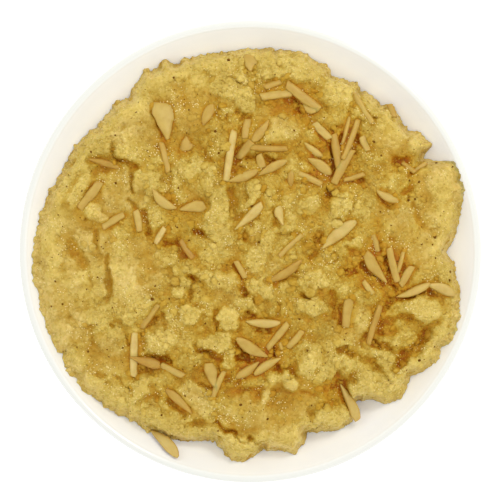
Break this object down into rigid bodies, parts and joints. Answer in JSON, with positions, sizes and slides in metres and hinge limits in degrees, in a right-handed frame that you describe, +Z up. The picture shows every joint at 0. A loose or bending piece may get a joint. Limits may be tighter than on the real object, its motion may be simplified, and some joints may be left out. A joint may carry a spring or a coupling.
{
  "type": "suji halwa in a dish",
  "caption": "Crumbly semolina pudding heaped in a shallow round dish, topped with slivered almonds, ready to serve with a spoon.",
  "frame": {"origin": "on the table, under the middle of the dish", "axes": "+Z up; the picture looks straight down on it with +Y at the top and +X to the right"},
  "size_m": [0.19, 0.19, 0.0425],
  "materials": {
    "glazed_white": "gloss",
    "moist_semolina": "satin",
    "almond": "satin"
  },
  "bodies": {
    "root": {"dish": "glazed_white", "halwa": "moist_semolina"}
  },
  "joints": []
}
